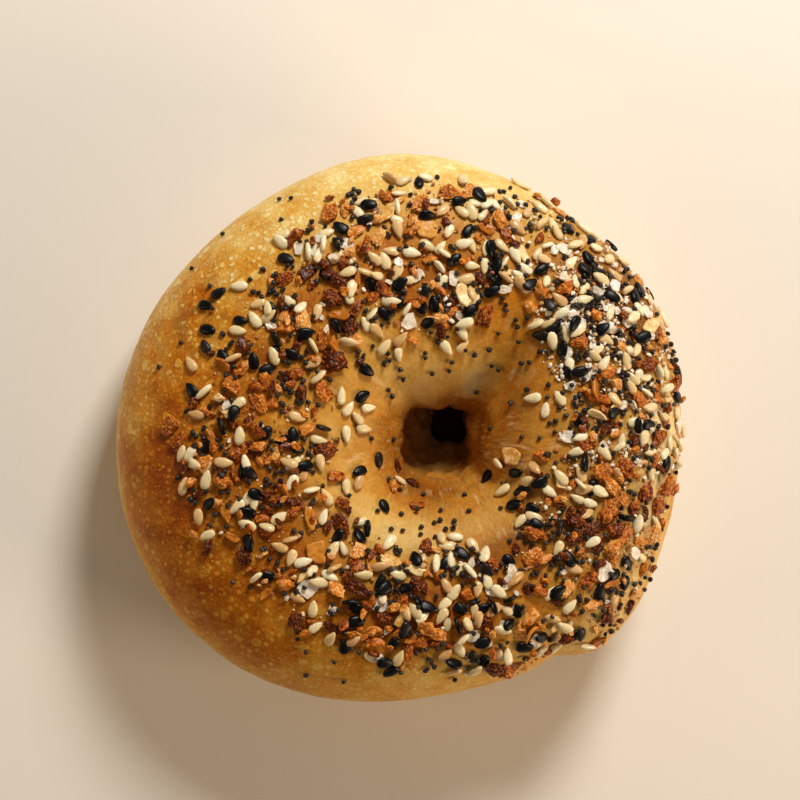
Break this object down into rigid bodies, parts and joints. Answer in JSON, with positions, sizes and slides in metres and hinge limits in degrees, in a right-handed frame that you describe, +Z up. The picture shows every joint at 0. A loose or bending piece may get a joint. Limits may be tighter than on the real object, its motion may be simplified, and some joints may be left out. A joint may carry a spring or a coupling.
{
  "type": "bagel",
  "caption": "Round baked bread ring with a small off-centre hole, a browned crust and a band of seeds, onion crumbs and salt on top.",
  "frame": {"origin": "middle of the footprint, on the surface that the bagel rests on", "axes": "+Z up through the hole, +X to the side with the thickest toppings, +Y away from the lap in the dough's outline"},
  "size_m": [0.1073, 0.1035, 0.0392],
  "materials": {
    "crust": "baked bread crust, golden to caramel brown, thin satin skin"
  },
  "bodies": {
    "root": {"bagel": "crust"}
  },
  "joints": []
}
